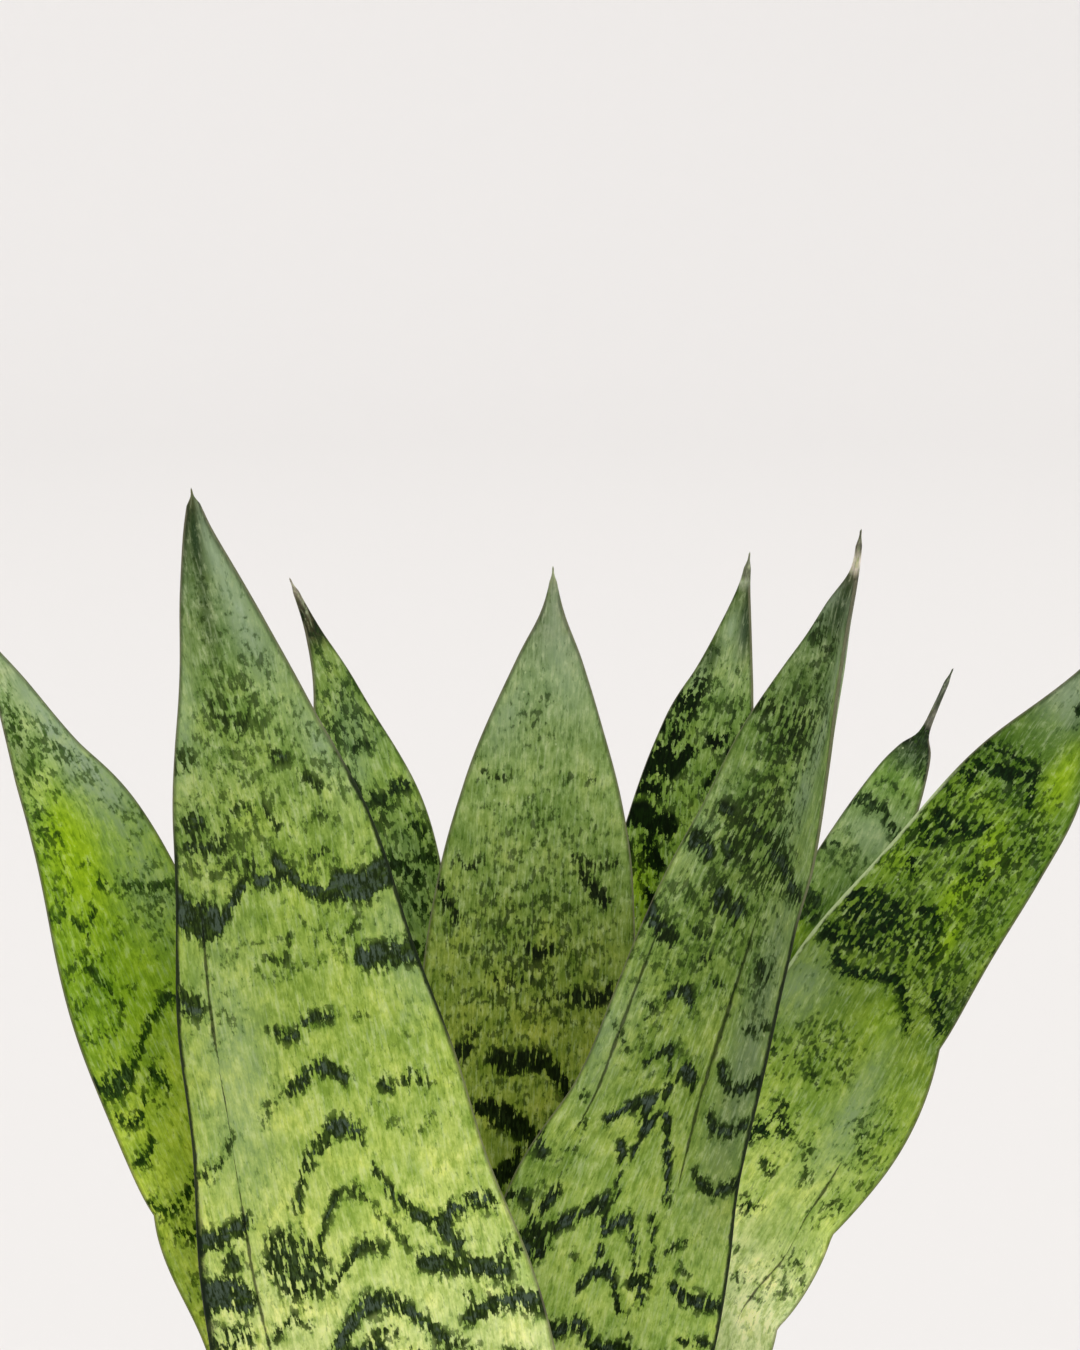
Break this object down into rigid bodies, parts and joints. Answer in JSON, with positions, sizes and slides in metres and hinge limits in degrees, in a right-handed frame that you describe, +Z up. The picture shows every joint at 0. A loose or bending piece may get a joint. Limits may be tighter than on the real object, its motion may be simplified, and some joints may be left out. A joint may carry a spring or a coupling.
{
  "type": "potted zeylanica snake plant",
  "caption": "Upright zeylanica snake plant with broad pointed leaves banded in dark green, rooted in soil in a plain tapered clay pot with a collar.",
  "frame": {"origin": "centre of the pot's flat underside, on the surface that it stands on", "axes": "+Z up through the middle of the pot; +X to the right and -Y towards a viewer who faces the plant's broad side, where the tallest leaf is at the front left"},
  "size_m": [0.2305, 0.152, 0.4002],
  "materials": {
    "clay": "unglazed fired clay, matt and slightly porous",
    "soil": "loose dark potting soil with bark and pale grit",
    "leaf": "firm waxy leaf skin, yellow-green with dark green cross bands"
  },
  "bodies": {
    "root": {"pot": "clay", "soil": "soil", "leaf_front_left": "leaf", "leaf_far_left": "leaf", "leaf_back_left": "leaf", "leaf_centre": "leaf", "leaf_back_right": "leaf", "leaf_front_right": "leaf", "leaf_small_right": "leaf", "leaf_far_right": "leaf"}
  },
  "joints": []
}
